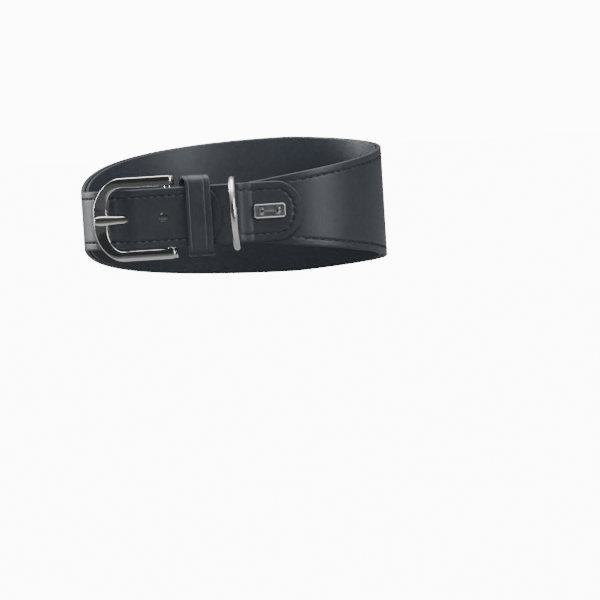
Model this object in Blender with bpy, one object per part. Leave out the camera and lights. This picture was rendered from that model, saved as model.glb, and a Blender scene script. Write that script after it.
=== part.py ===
"""A wide black leather sighthound collar, buckled, standing on the lower edge of its wide band.

The ring of the collar lies level: +Z is up, the buckle faces -Y and +X is to the right of it.
Places along the collar are given as s, the distance along the lining's inner face from the
leash ring, growing to the right. Distances out from that face are given as d.
"""

import math

import bmesh
import bpy
from mathutils import Vector

MM = 0.001
UP = (0.0, 0.0, 1.0)
OUTWARD = (0.0, -1.0, 0.0)

# The ring that the collar makes, measured on the lining's inner face.
RING_WIDTH = 124.8 * MM
RING_DEPTH = 97.5 * MM
FRONT_LEFT = 50.6 * MM
FRONT_RIGHT = 22.0 * MM
LEFT_TURN = 22.0 * MM
RIGHT_TURN = 48.0 * MM

# Leather.
STRAP_WIDTH = 25.0 * MM
WIDEST = 62.0 * MM
LENS_CENTRE = 158.0 * MM
LENS_FLAT = 3.0 * MM
LENS_RIGHT_REACH = 150.0 * MM
LENS_LEFT_REACH = 134.0 * MM
LENS_RIGHT_POWER = 1.25
LENS_LEFT_POWER = 2.0
LINING_THICK = 1.2 * MM
OUTER_THICK = 2.0 * MM
FOLD_THICK = 1.8 * MM
LINING_INSET = 0.4 * MM
EDGE_ROUND = 0.5 * MM
FLARE_SOFTNESS = 0.7 * MM
GAP = 0.3 * MM

# Seams.
SEAM_INSET = 3.2 * MM
THREAD_RADIUS = 0.3 * MM
THREAD_SUNK = 0.25 * MM

# Buckle.
BAR_X = -27.4 * MM
BAR_DIAMETER = 3.5 * MM
FRAME_END_X = -59.5 * MM
RAIL_WIDTH = 4.3 * MM
END_RAIL_WIDTH = 5.6 * MM
FRAME_THICK = 2.2 * MM
FRAME_ARCH = 2.9 * MM
FRAME_CROWN = 0.15 * MM
FRAME_CORNER_LONG = 8.5 * MM
FRAME_CORNER_TALL = 11.0 * MM
STRAP_SIDE_GAP = 0.8 * MM
LUG_DIAMETER = 5.2 * MM
CORNER_SLIMMING = 0.35
PRONG_TIP_X = -59.2 * MM
PRONG_WIDTH = 3.3 * MM
PRONG_TIP_WIDTH = 4.0 * MM
PRONG_THICK = 1.9 * MM
LOOP_THICK = 1.6 * MM
PRONG_PLAY = 0.8 * MM
PRONG_HOLE_DIAMETER = 4.2 * MM

# Tongue, the strap end that is threaded through the buckle.
TONGUE_TIP_X = -5.6 * MM
TONGUE_RISE_FROM = -52.8 * MM
TONGUE_RISE_TO = -41.2 * MM
TONGUE_END_LENGTH = 9.0 * MM
HOLE_DIAMETER = 3.8 * MM
HOLE_PITCH = 15.8 * MM
FREE_HOLES = 2

# Folded buckle strap, which holds the bar, the keeper and the leash ring.
PATCH_END_X = 28.0 * MM
PATCH_END_LENGTH = 10.0 * MM
BAND_START_X = 6.8 * MM
SLOT_GAP = 0.75 * MM
PATCH_SEAM_FROM = 4.0 * MM

# Keeper.
KEEPER_LEFT_X = -20.2 * MM
KEEPER_WIDTH = 10.7 * MM
KEEPER_HEIGHT = 34.2 * MM
KEEPER_THICK = 1.8 * MM
KEEPER_CORNER = 2.6 * MM

# Leash ring.
RING_WIRE = 2.8 * MM
RING_REACH = 16.5 * MM
RING_SIDE = 5.5 * MM
RING_CORNER = 2.6 * MM
RING_SIDE_GAP = 0.4 * MM

# Name plate.
PLATE_LEFT_X = 8.0 * MM
PLATE_WIDTH = 13.4 * MM
PLATE_HEIGHT = 6.0 * MM
PLATE_THICK = 1.2 * MM
PLATE_RIM = 0.6 * MM
PLATE_SUNK = 0.35 * MM

# Sizes that follow from the ones above.
STRAP_HALF = STRAP_WIDTH / 2
MIDDLE_Z = WIDEST / 2
BAND_IN = LINING_THICK + GAP
BAND_OUT = BAND_IN + OUTER_THICK
INNER_PLY = BAND_IN + FOLD_THICK / 2
FOLD_RADIUS = BAR_DIAMETER / 2 + GAP + FOLD_THICK / 2
BAR_D = INNER_PLY + FOLD_RADIUS
OUTER_PLY = BAR_D + FOLD_RADIUS
PATCH_PLY = BAND_OUT + GAP + FOLD_THICK / 2
TONGUE_LOW = BAND_IN + OUTER_THICK / 2
TONGUE_HIGH = OUTER_PLY + FOLD_THICK / 2 + GAP + OUTER_THICK / 2
END_RAIL_D = BAND_OUT + 1.3 * GAP + FRAME_THICK / 2
RING_BAR_D = INNER_PLY + FOLD_THICK / 2 + GAP + RING_WIRE / 2
LOOP_RADIUS = BAR_DIAMETER / 2 + GAP + LOOP_THICK / 2
PRONG_REST_D = END_RAIL_D + FRAME_THICK / 2 + FRAME_CROWN + GAP + PRONG_THICK / 2
RING_OUT = RING_BAR_D + RING_REACH + RING_WIRE / 2
FRONT_Y = (RING_OUT - RING_DEPTH - BAND_OUT) / 2


def quarter(centre, sizes, start):
    """Points of a quarter of an ellipse, turning left from the angle given, without its last one."""
    points = []
    for step in range(400):
        angle = math.radians(start + 90 * step / 400)
        points.append((centre[0] + sizes[0] * math.cos(angle), centre[1] + sizes[1] * math.sin(angle)))
    return points


def outlinePoints():
    """The lining's inner face seen from above, closed, from x = 0 on the front to the right."""
    half = RING_WIDTH / 2
    points = [(0.0, 0.0)]
    points += quarter((FRONT_RIGHT, RIGHT_TURN), (half - FRONT_RIGHT, RIGHT_TURN), 270)
    points += quarter((0.0, RIGHT_TURN), (half, RING_DEPTH - RIGHT_TURN), 0)
    points += quarter((0.0, LEFT_TURN), (half, RING_DEPTH - LEFT_TURN), 90)
    points += quarter((-FRONT_LEFT, LEFT_TURN), (half - FRONT_LEFT, LEFT_TURN), 180)
    points += [(-FRONT_LEFT, 0.0), (0.0, 0.0)]
    return [Vector((x, y + FRONT_Y)) for x, y in points]


outline = outlinePoints()
outlineLengths = [0.0]
for first, second in zip(outline, outline[1:]):
    outlineLengths.append(outlineLengths[-1] + (second - first).length)
ringLength = outlineLengths[-1]


def place(s, d=0.0):
    """The point of the level plan that is s along the ring and d out from the lining's face."""
    s = s % ringLength
    low, high = 0, len(outlineLengths) - 1
    while high - low > 1:
        middle = (low + high) // 2
        if outlineLengths[middle] <= s:
            low = middle
        else:
            high = middle
    along = (outline[low + 1] - outline[low]).normalized()
    point = outline[low] + along * (s - outlineLengths[low])
    return point + Vector((along.y, -along.x)) * d


def bandHalf(s):
    """Half of the band's height: the strap, swelling to the lens shape of the wide part."""
    s = s % ringLength
    away = max(0.0, abs(s - LENS_CENTRE) - LENS_FLAT)
    reach, power = LENS_RIGHT_REACH, LENS_RIGHT_POWER
    if s > LENS_CENTRE:
        reach, power = LENS_LEFT_REACH, LENS_LEFT_POWER
    swell = (MIDDLE_Z - STRAP_HALF) * (1 - (away / (reach - LENS_FLAT)) ** power)
    return min(MIDDLE_Z, STRAP_HALF + (swell + math.hypot(swell, FLARE_SOFTNESS)) / 2)


def ease(value, start, end):
    part = min(1.0, max(0.0, (value - start) / (end - start)))
    return part * part * (3 - 2 * part)


def tongueD(x):
    """The tongue's middle line: flat under the frame, then steeply up over the prong and the bar."""
    return TONGUE_LOW + (TONGUE_HIGH - TONGUE_LOW) * ease(x, TONGUE_RISE_FROM, TONGUE_RISE_TO) ** 0.75


def prongD(x):
    """The prong's middle line, from the top of its loop down to its rest on the frame."""
    rest = FRAME_END_X + END_RAIL_WIDTH / 2
    part = min(1.0, (BAR_X - x) / (BAR_X - rest))
    return (BAR_D + LOOP_RADIUS) * (1 - part) + PRONG_REST_D * part


def newCollection(name):
    collection = bpy.data.collections.new(name)
    bpy.context.scene.collection.children.link(collection)
    return collection


def makeMaterial(name, colour, roughness, metallic=0.0):
    material = bpy.data.materials.new(name)
    material.use_nodes = True
    shader = material.node_tree.nodes["Principled BSDF"]
    shader.inputs["Base Color"].default_value = (*colour, 1.0)
    shader.inputs["Roughness"].default_value = roughness
    shader.inputs["Metallic"].default_value = metallic
    material.diffuse_color = (*colour, 1.0)
    return material


def loft(name, rings, origin=(0.0, 0.0, 0.0), looped=False):
    """One closed body through rings of points, with its origin where it is given."""
    origin = Vector(origin)
    work = bmesh.new()
    rows = [[work.verts.new(Vector(point) - origin) for point in ring] for ring in rings]
    count = len(rows[0])
    pairs = list(zip(rows, rows[1:])) + ([(rows[-1], rows[0])] if looped else [])
    for first, second in pairs:
        for index in range(count):
            after = (index + 1) % count
            work.faces.new((first[index], first[after], second[after], second[index]))
    if not looped:
        work.faces.new(rows[0])
        work.faces.new(rows[-1])
    bmesh.ops.recalc_face_normals(work, faces=work.faces)
    mesh = bpy.data.meshes.new(name)
    work.to_mesh(mesh)
    work.free()
    made = bpy.data.objects.new(name, mesh)
    made.location = origin
    return made


def keep(made, collection, material=None):
    collection.objects.link(made)
    if material:
        made.data.materials.append(material)
    else:
        made.hide_render = True
        made.display_type = "WIRE"
    return made


def cut(body, cutter):
    modifier = body.modifiers.new("cut " + cutter.name, "BOOLEAN")
    modifier.operation = "DIFFERENCE"
    modifier.solver = "EXACT"
    modifier.object = cutter


def strapSection(half, thick, grooves=0.0, groovePlace=0.0):
    """A strap's section as (out, up) pairs, with a groove for a seam near each edge if asked."""
    out = thick / 2
    edge = EDGE_ROUND
    face = []
    if grooves:
        side = min(THREAD_RADIUS + GAP + 0.02 * MM, (half - edge) * 0.15)
        for middle in (groovePlace, -groovePlace):
            face += [(out, middle + side), (out - grooves, middle + side)]
            face += [(out - grooves, middle - side), (out, middle - side)]
    upper = [(-out, half - edge), (edge - out, half), (out - edge, half), (out, half - edge)]
    lower = [(a, -b) for a, b in reversed(upper)]
    return upper + face + lower


def ribbonRings(centres, sections):
    """Rings of points that carry each section along a line of plan points."""
    rings = []
    last = len(centres) - 1
    for index, (centre, section) in enumerate(zip(centres, sections)):
        along = centres[min(index + 1, last)] - centres[max(index - 1, 0)]
        out = Vector((along.y, -along.x)).normalized()
        rings.append([(*(centre + out * a), MIDDLE_Z + b) for a, b in section])
    return rings


def tubeRings(points, radius, sides, flat):
    """Rings of points round a line of places in space that never runs along the flat direction."""
    rings = []
    last = len(points) - 1
    for index, point in enumerate(points):
        along = (points[min(index + 1, last)] - points[max(index - 1, 0)]).normalized()
        side = along.cross(Vector(flat)).normalized()
        up = side.cross(along)
        ring = []
        for corner in range(sides):
            angle = math.tau * corner / sides
            ring.append(point + (side * math.cos(angle) + up * math.sin(angle)) * radius)
        rings.append(ring)
    return rings


def roundedEnd(length, half, steps, smallest=12.0):
    """Pairs of distance from the end and half height, for a strap's rounded end, tip first."""
    pairs = []
    for step in range(steps):
        angle = math.radians(smallest + (90 - smallest) * step / steps)
        pairs.append((length * (1 - math.cos(angle)), half * math.sin(angle)))
    return pairs


def spaced(start, end, step):
    count = max(1, round((end - start) / step))
    return [start + (end - start) * index / count for index in range(count + 1)]


def placeSpace(s, d, z):
    point = place(s, d)
    return Vector((point.x, point.y, MIDDLE_Z + z))


def placeStraight(x, d, z):
    """A point of the rigid buckle, which stays flat where the strap turns away behind it."""
    return Vector((x, FRONT_Y - d, MIDDLE_Z + z))


def ringStations():
    """Places along the ring that every long strip shares: one segment is centred on the widest place."""
    step = 4.6 * MM
    count = int((LENS_CENTRE - BAND_START_X) / step)
    before = [LENS_CENTRE - step * (index + 0.5) for index in range(count)]
    leftTurn = ringLength - FRONT_LEFT - 32 * MM
    after = [LENS_CENTRE + step * 0.5]
    while after[-1] + step < leftTurn:
        after.append(after[-1] + step)
    return before[::-1] + after + spaced(after[-1], ringLength + TONGUE_RISE_FROM, 2.1 * MM)[1:]


stations = ringStations()
ridgeStations = spaced(ringLength + TONGUE_RISE_FROM, ringLength + TONGUE_RISE_TO, 1.3 * MM)[1:]
grooveDepth = THREAD_SUNK + THREAD_RADIUS + GAP
seamEndX = KEEPER_LEFT_X + KEEPER_WIDTH * 0.55


def bandLeather():
    """The outer leather in one piece: from under the patch, round the back, to the tongue's tip."""
    flatEnd = ringLength + TONGUE_TIP_X - TONGUE_END_LENGTH
    flat = spaced(ringLength + TONGUE_RISE_TO, flatEnd, 4.0 * MM)[1:-1]
    seamEnd = ringLength + seamEndX
    flat = sorted([s for s in flat if abs(s - seamEnd) > 1.5 * MM] + [seamEnd, seamEnd + 0.5 * MM])
    centres, sections = [], []
    for s in [BAND_START_X] + stations + ridgeStations + flat:
        x = s - ringLength
        centres.append(place(s, tongueD(x) if x > TONGUE_RISE_FROM else TONGUE_LOW))
        depth = grooveDepth if s < seamEnd + 0.1 * MM else 0.02 * MM
        half = bandHalf(s)
        sections.append(strapSection(half, OUTER_THICK, depth, half - SEAM_INSET))
    for fromTip, half in reversed(roundedEnd(TONGUE_END_LENGTH, STRAP_HALF, 7)):
        centres.append(place(TONGUE_TIP_X - fromTip, TONGUE_HIGH))
        inner = (half - EDGE_ROUND) * (1 - SEAM_INSET / STRAP_HALF)
        sections.append(strapSection(half, OUTER_THICK, 0.02 * MM, inner))
    return loft("band_leather", ribbonRings(centres, sections))


def bandLining():
    start = BAR_X - 4.5 * MM
    end = ringLength + TONGUE_RISE_FROM
    line = spaced(start, BAND_START_X, 8.0 * MM)[:-1] + [BAND_START_X]
    line += [s for s in stations if s < end - 0.1 * MM]
    centres = [place(s, LINING_THICK / 2) for s in line]
    sections = []
    for s in line:
        half, out, edge = bandHalf(s) - LINING_INSET, LINING_THICK / 2, EDGE_ROUND * 0.6
        upper = [(-out, half - edge), (edge - out, half), (out, half)]
        sections.append(upper + [(a, -b) for a, b in reversed(upper)])
    return loft("band_lining", ribbonRings(centres, sections))


def outerPlyD(x):
    """The middle of the fold's outer ply: high over the leash ring's bar, then down on the band."""
    return OUTER_PLY - (OUTER_PLY - PATCH_PLY) * ease(x, RING_WIRE / 2, PLATE_LEFT_X - GAP)


def buckleStrap():
    """The folded strap: inner ply, the turn round the bar, outer ply and the sewn patch."""
    centres = []
    for x in spaced(BAR_X, BAND_START_X - 0.4 * MM, 8.0 * MM)[::-1]:
        centres.append(place(x, INNER_PLY))
    for step in range(1, 12):
        angle = math.radians(180 * step / 12)
        centres.append(place(BAR_X - FOLD_RADIUS * math.sin(angle), BAR_D - FOLD_RADIUS * math.cos(angle)))
    for x in spaced(BAR_X, RING_WIRE / 2, 6.0 * MM):
        centres.append(place(x, OUTER_PLY))
    for x in spaced(RING_WIRE / 2, PLATE_LEFT_X - GAP, 0.8 * MM)[1:]:
        centres.append(place(x, outerPlyD(x)))
    for x in spaced(PLATE_LEFT_X, PATCH_END_X - PATCH_END_LENGTH, 4.0 * MM)[1:-1]:
        centres.append(place(x, PATCH_PLY))
    halves = [STRAP_HALF] * len(centres)
    for fromTip, half in reversed(roundedEnd(PATCH_END_LENGTH, STRAP_HALF, 9)):
        centres.append(place(PATCH_END_X - fromTip, PATCH_PLY))
        halves.append(half)
    sections = [strapSection(half, FOLD_THICK) for half in halves]
    return loft("buckle_strap", ribbonRings(centres, sections))


def bandSeamLine(side):
    """The middle line of the seam near the band's upper or lower edge."""
    points = []
    seamEnd = ringLength + seamEndX - 0.5 * MM
    flat = spaced(ringLength + TONGUE_RISE_TO, seamEnd, 5.0 * MM)[1:]
    sunk = OUTER_THICK / 2 - THREAD_SUNK
    line = [PATCH_END_X - 3 * MM] + [s for s in stations if s > PATCH_END_X] + ridgeStations + flat
    for s in line:
        x = s - ringLength
        here = tongueD(x) if x > TONGUE_RISE_FROM else TONGUE_LOW
        lean = math.atan2(tongueD(x + 0.05 * MM) - tongueD(x - 0.05 * MM), 0.1 * MM)
        if x <= TONGUE_RISE_FROM:
            lean = 0.0
        points.append(
            placeSpace(s - sunk * math.sin(lean), here + sunk * math.cos(lean), side * (bandHalf(s) - SEAM_INSET))
        )
    return points


def patchSeamLine(from_x):
    """The middle line of the seam round the patch: one row out, the rounded end, one row back."""
    row = STRAP_HALF - SEAM_INSET
    end = PATCH_END_X - PATCH_END_LENGTH
    reach = PATCH_END_LENGTH - SEAM_INSET
    line = [(x, row) for x in spaced(from_x, PLATE_LEFT_X - GAP, 1.2 * MM)]
    line += [(x, row) for x in spaced(PLATE_LEFT_X - GAP, end, 4.0 * MM)[1:]]
    for step in range(1, 8):
        angle = math.radians(90 * step / 8)
        line.append((end + reach * math.sin(angle), row * math.cos(angle)))
    line += [(end + reach, 0.0)] + [(x, -z) for x, z in reversed(line)]
    points = []
    for x, z in line:
        lean = math.atan2(outerPlyD(x + 0.05 * MM) - outerPlyD(x - 0.05 * MM), 0.1 * MM)
        sunk = FOLD_THICK / 2 - THREAD_SUNK
        points.append(placeSpace(x - sunk * math.sin(lean), outerPlyD(x) + sunk * math.cos(lean), z))
    return points


def buckleFrame():
    """The frame's flat bow, open towards the bar, in the plane of the straps and gently arched."""
    middleZ = STRAP_HALF + STRAP_SIDE_GAP + RAIL_WIDTH / 2
    endX = FRAME_END_X + END_RAIL_WIDTH / 2
    cornerX = endX + FRAME_CORNER_LONG
    stopX = BAR_X + LUG_DIAMETER * 0.32
    line = [(stopX, 90.0, 0.30), (stopX - 0.5 * MM, 90.0, 0.72), (stopX - 1.3 * MM, 90.0, 1.0)]
    line += [(x, 90.0, 1.0) for x in spaced(cornerX, BAR_X - 3 * MM, 4.0 * MM)[::-1]]
    stops = [(x, middleZ, angle, size) for x, angle, size in line]
    for step in range(1, 11):
        angle = math.radians(90 + 90 * step / 10)
        x = cornerX + FRAME_CORNER_LONG * math.cos(angle)
        z = middleZ - FRAME_CORNER_TALL + FRAME_CORNER_TALL * math.sin(angle)
        facing = math.atan2(math.sin(angle) / FRAME_CORNER_TALL, math.cos(angle) / FRAME_CORNER_LONG)
        stops.append((x, z, math.degrees(facing), 1.0))
    stops += [(x, -z, -angle, size) for x, z, angle, size in reversed(stops)]
    rings = []
    for x, z, angle, size in stops:
        turn = math.radians(angle)
        blend = abs(math.cos(turn))
        half = (RAIL_WIDTH * (1 - blend) + END_RAIL_WIDTH * blend) / 2 * size
        part = max(0.0, min(1.0, (x - endX) / (BAR_X - endX)))
        middleD = END_RAIL_D + FRAME_ARCH * (1 - (1 - part) ** 3)
        thick = FRAME_THICK / 2 * (0.55 + 0.45 * size)
        edge = 0.5 * MM
        section = [(-half, edge - thick), (-half, thick - edge), (edge - half, thick)]
        section += [(0.0, thick + FRAME_CROWN), (half - edge, thick), (half, thick - edge)]
        section += [(half, edge - thick), (half - edge, -thick), (edge - half, -thick)]
        outward = Vector((math.cos(turn), math.sin(turn)))
        slim = 1 - CORNER_SLIMMING * abs(math.sin(2 * turn))
        section = [(a * slim if a > 0 else a, b) for a, b in section]
        rings.append(
            [placeStraight(x + outward.x * a, middleD + b, z + outward.y * a) for a, b in section]
        )
    return loft("buckle_frame", rings, placeStraight(BAR_X, BAR_D, 0.0))


def addRod(name, start, end, radius, sides, flat):
    return loft(name, tubeRings([Vector(start), Vector(end)], radius, sides, flat))


def buckleProng():
    """A flat loop round the bar, then a rounded shaft out to its rest on the frame."""
    stops = []
    for step in range(11):
        angle = math.radians(-215 + 305 * step / 10)
        x = BAR_X + LOOP_RADIUS * math.cos(angle)
        d = BAR_D + LOOP_RADIUS * math.sin(angle)
        stops.append((x, d, LOOP_THICK / 2, PRONG_WIDTH / 2 + 0.15 * MM))
    rest = FRAME_END_X + END_RAIL_WIDTH / 2
    for x in spaced(rest, BAR_X - 2.5 * MM, 4.0 * MM)[::-1]:
        part = max(0.0, min(1.0, (rest + 7 * MM - x) / (7 * MM)))
        wide = PRONG_WIDTH + (PRONG_TIP_WIDTH - PRONG_WIDTH) * part
        stops.append((x, prongD(x), PRONG_THICK / 2, wide / 2))
    tip = (rest - PRONG_TIP_X)
    for part, size in ((0.45, 0.97), (0.8, 0.78), (1.0, 0.4)):
        stops.append((rest - tip * part, prongD(rest), PRONG_THICK / 2 * size, PRONG_TIP_WIDTH / 2 * size))
    rings = []
    last = len(stops) - 1
    for index, (x, d, high, wide) in enumerate(stops):
        after, before = stops[min(index + 1, last)], stops[max(index - 1, 0)]
        along = Vector((after[0] - before[0], after[1] - before[1])).normalized()
        out = Vector((-along.y, along.x))
        ring = []
        for corner in range(10):
            angle = math.tau * (corner + 0.5) / 10
            a, b = high * math.sin(angle) / math.cos(math.pi / 10), wide * math.cos(angle)
            ring.append(placeStraight(x + out.x * a, d + out.y * a, b))
        rings.append(ring)
    return loft("buckle_prong", rings, placeStraight(BAR_X, BAR_D, 0.0))


def keeperLoop():
    """A closed loop of leather round the outer ply and the tongue."""
    inner = OUTER_PLY - FOLD_THICK / 2 - GAP - KEEPER_THICK / 2
    outer = TONGUE_HIGH + OUTER_THICK / 2 + GAP + KEEPER_THICK / 2
    tall = KEEPER_HEIGHT / 2 - KEEPER_THICK / 2
    middle = KEEPER_LEFT_X + KEEPER_WIDTH / 2
    rings = []
    for centreD, centreZ, start in (
        (outer - KEEPER_CORNER, tall - KEEPER_CORNER, 0),
        (inner + KEEPER_CORNER, tall - KEEPER_CORNER, 90),
        (inner + KEEPER_CORNER, KEEPER_CORNER - tall, 180),
        (outer - KEEPER_CORNER, KEEPER_CORNER - tall, 270),
    ):
        for step in range(5):
            angle = math.radians(start + 90 * step / 4)
            d = centreD + KEEPER_CORNER * math.cos(angle)
            z = centreZ + KEEPER_CORNER * math.sin(angle)
            ring = []
            for a, b in strapSection(KEEPER_WIDTH / 2, KEEPER_THICK):
                ring.append(placeSpace(middle + b, d + a * math.cos(angle), z + a * math.sin(angle)))
            rings.append(ring)
    return loft("keeper_loop", rings, placeSpace(middle, (inner + outer) / 2, 0.0), looped=True)


def leashRing():
    """The D shaped wire: its straight side lies in the fold and its bow stands straight out."""
    tall = STRAP_HALF + RING_SIDE_GAP + RING_WIRE / 2
    bow = RING_REACH - RING_SIDE
    half = [(0.0, 0.0), (0.0, tall - RING_CORNER)]
    for step in range(1, 5):
        angle = math.radians(90 * step / 4)
        half.append((RING_CORNER * (1 - math.cos(angle)), tall - RING_CORNER * (1 - math.sin(angle))))
    half.append((RING_SIDE, tall))
    for step in range(1, 12):
        angle = math.radians(90 * step / 11.5)
        half.append((RING_SIDE + bow * math.sin(angle), tall * math.cos(angle)))
    line = half + [(d, -z) for d, z in reversed(half[1:])]
    rings = []
    count = len(line)
    for index, (d, z) in enumerate(line):
        after, before = line[(index + 1) % count], line[index - 1]
        along = Vector((after[0] - before[0], after[1] - before[1])).normalized()
        out = Vector((along.y, -along.x))
        ring = []
        for corner in range(10):
            angle = math.tau * (corner + 0.5) / 10
            a, b = RING_WIRE / 2 * math.cos(angle), RING_WIRE / 2 * math.sin(angle)
            ring.append(placeSpace(b, RING_BAR_D + d + out.x * a, z + out.y * a))
        rings.append(ring)
    return loft("d_ring", rings, placeSpace(0.0, RING_BAR_D, 0.0), looped=True)


def platePoints(x0, x1, half, corner):
    """A rounded rectangle as (x, z) pairs."""
    points = []
    for cx, cz, start in (
        (x1 - corner, half - corner, 0),
        (x0 + corner, half - corner, 90),
        (x0 + corner, corner - half, 180),
        (x1 - corner, corner - half, 270),
    ):
        for step in range(4):
            angle = math.radians(start + 90 * step / 3)
            points.append((cx + corner * math.cos(angle), cz + corner * math.sin(angle)))
    return points


def namePlate():
    """A thin metal plate whose field is sunk inside a plain raised rim."""
    low = PATCH_PLY + FOLD_THICK / 2 + GAP
    high = low + PLATE_THICK
    right = PLATE_LEFT_X + PLATE_WIDTH
    rings = []
    for inset, d in (
        (0.0, low),
        (0.0, high - 0.2 * MM),
        (0.2 * MM, high),
        (PLATE_RIM, high),
        (PLATE_RIM + 0.1 * MM, high - PLATE_SUNK),
    ):
        outline2 = platePoints(PLATE_LEFT_X + inset, right - inset, PLATE_HEIGHT / 2 - inset, 1.2 * MM - inset * 0.9)
        rings.append([placeSpace(x, d, z) for x, z in outline2])
    return loft("name_plate", rings)


for oldObject in list(bpy.data.objects):
    bpy.data.objects.remove(oldObject)

collar = newCollection("sighthound_collar")
cutters = newCollection("cutters")

leather = makeMaterial("black_leather", (0.022, 0.024, 0.027), 0.42)
liningLeather = makeMaterial("lining_leather", (0.018, 0.019, 0.021), 0.55)
foldLeather = makeMaterial("buckle_strap_leather", (0.022, 0.024, 0.027), 0.42)
keeperLeather = makeMaterial("keeper_leather", (0.022, 0.024, 0.027), 0.40)
upperThread = makeMaterial("upper_thread", (0.012, 0.012, 0.013), 0.7)
lowerThread = makeMaterial("lower_thread", (0.012, 0.012, 0.013), 0.7)
patchThread = makeMaterial("patch_thread", (0.012, 0.012, 0.013), 0.7)
frameNickel = makeMaterial("frame_nickel", (0.72, 0.71, 0.69), 0.12, 1.0)
prongNickel = makeMaterial("prong_nickel", (0.72, 0.71, 0.69), 0.12, 1.0)
ringNickel = makeMaterial("ring_nickel", (0.72, 0.71, 0.69), 0.12, 1.0)
plateNickel = makeMaterial("plate_nickel", (0.72, 0.71, 0.69), 0.18, 1.0)

band = keep(bandLeather(), collar, leather)
keep(bandLining(), collar, liningLeather)
fold = keep(buckleStrap(), collar, foldLeather)
frame = keep(buckleFrame(), collar, frameNickel)
keep(buckleProng(), collar, prongNickel)
keep(keeperLoop(), collar, keeperLeather)
keep(leashRing(), collar, ringNickel)
keep(namePlate(), collar, plateNickel)

for name, side, material in (("band_thread_upper", 1, upperThread), ("band_thread_lower", -1, lowerThread)):
    keep(loft(name, tubeRings(bandSeamLine(side), THREAD_RADIUS, 6, UP)), collar, material)
patchRow = patchSeamLine(PATCH_SEAM_FROM)
keep(loft("patch_thread", tubeRings(patchRow, THREAD_RADIUS, 6, OUTWARD)), collar, patchThread)
troughRow = patchSeamLine(PATCH_SEAM_FROM - 0.6 * MM)
troughRings = tubeRings(troughRow, THREAD_RADIUS + GAP, 6, OUTWARD)
cut(fold, keep(loft("patch_seam_cutter", troughRings), cutters))

slotHalf = PRONG_WIDTH / 2 + SLOT_GAP
slotLeft = BAR_X - FOLD_RADIUS - FOLD_THICK
slotRight = BAR_X + LOOP_RADIUS + LOOP_THICK / 2 + GAP
slotRings = []
for x in (slotLeft, slotRight):
    slotRings.append(
        [
            placeSpace(x, d, z)
            for d, z in (
                (BAND_IN - 0.2 * MM, -slotHalf),
                (BAND_IN - 0.2 * MM, slotHalf),
                (OUTER_PLY + FOLD_THICK, slotHalf),
                (OUTER_PLY + FOLD_THICK, -slotHalf),
            )
        ]
    )
cut(fold, keep(loft("prong_slot_cutter", slotRings), cutters))

# The prong's own hole is cut along the prong, where the tongue climbs across it.
crossX = TONGUE_RISE_FROM
while tongueD(crossX) < prongD(crossX) + PRONG_PLAY / 2:
    crossX += 0.05 * MM
lean = math.atan2(prongD(crossX + MM) - prongD(crossX - MM), 2 * MM)
holeEnds = []
for along in (-7.0 * MM, 7.0 * MM):
    holeEnds.append(
        placeStraight(crossX + along * math.cos(lean), prongD(crossX) + PRONG_PLAY / 2 + along * math.sin(lean), 0.0)
    )
cut(band, keep(addRod("prong_hole_cutter", holeEnds[0], holeEnds[1], PRONG_HOLE_DIAMETER / 2, 20, UP), cutters))
for index in range(FREE_HOLES):
    x = crossX + HOLE_PITCH * (index + 1)
    ends = [placeSpace(x, TONGUE_HIGH + side * 3 * MM, 0.0) for side in (-1, 1)]
    name = "free_hole_cutter_" + str(index + 1)
    cut(band, keep(addRod(name, ends[0], ends[1], HOLE_DIAMETER / 2, 20, UP), cutters))

# The bar and the two lugs that carry it become part of the frame.
barEnd = STRAP_HALF + STRAP_SIDE_GAP + RAIL_WIDTH
lugStart = STRAP_HALF + STRAP_SIDE_GAP
for name, z0, z1, radius in (
    ("bar", -barEnd + MM, barEnd - MM, BAR_DIAMETER / 2),
    ("lug_upper", lugStart, barEnd - 0.25 * MM, LUG_DIAMETER / 2),
    ("lug_lower", -barEnd + 0.25 * MM, -lugStart, LUG_DIAMETER / 2),
):
    rod = keep(
        addRod(name, placeStraight(BAR_X, BAR_D, z0), placeStraight(BAR_X, BAR_D, z1), radius, 18, OUTWARD),
        cutters,
    )
    joining = frame.modifiers.new("join " + name, "BOOLEAN")
    joining.operation = "UNION"
    joining.solver = "EXACT"
    joining.object = rod

bpy.context.view_layer.update()
print("ring length", round(ringLength * 1000, 1), "prong hole x", round(crossX * 1000, 2))
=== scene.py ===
import math
import random

import bpy
from mathutils import Matrix, Quaternion, Vector


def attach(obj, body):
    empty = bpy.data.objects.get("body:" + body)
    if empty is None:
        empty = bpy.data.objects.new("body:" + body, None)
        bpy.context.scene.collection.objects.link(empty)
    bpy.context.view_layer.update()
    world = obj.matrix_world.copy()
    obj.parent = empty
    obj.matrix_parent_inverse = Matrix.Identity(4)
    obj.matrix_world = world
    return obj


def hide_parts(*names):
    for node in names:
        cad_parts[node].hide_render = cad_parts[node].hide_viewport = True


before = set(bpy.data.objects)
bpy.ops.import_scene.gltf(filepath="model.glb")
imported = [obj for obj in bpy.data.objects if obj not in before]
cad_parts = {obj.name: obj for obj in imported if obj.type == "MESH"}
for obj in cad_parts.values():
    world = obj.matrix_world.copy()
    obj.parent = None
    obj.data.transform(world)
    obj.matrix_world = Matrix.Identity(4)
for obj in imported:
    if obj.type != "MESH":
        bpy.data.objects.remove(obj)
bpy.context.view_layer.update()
print("frame loaded")

mm = 0.001
scene = bpy.context.scene

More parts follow.
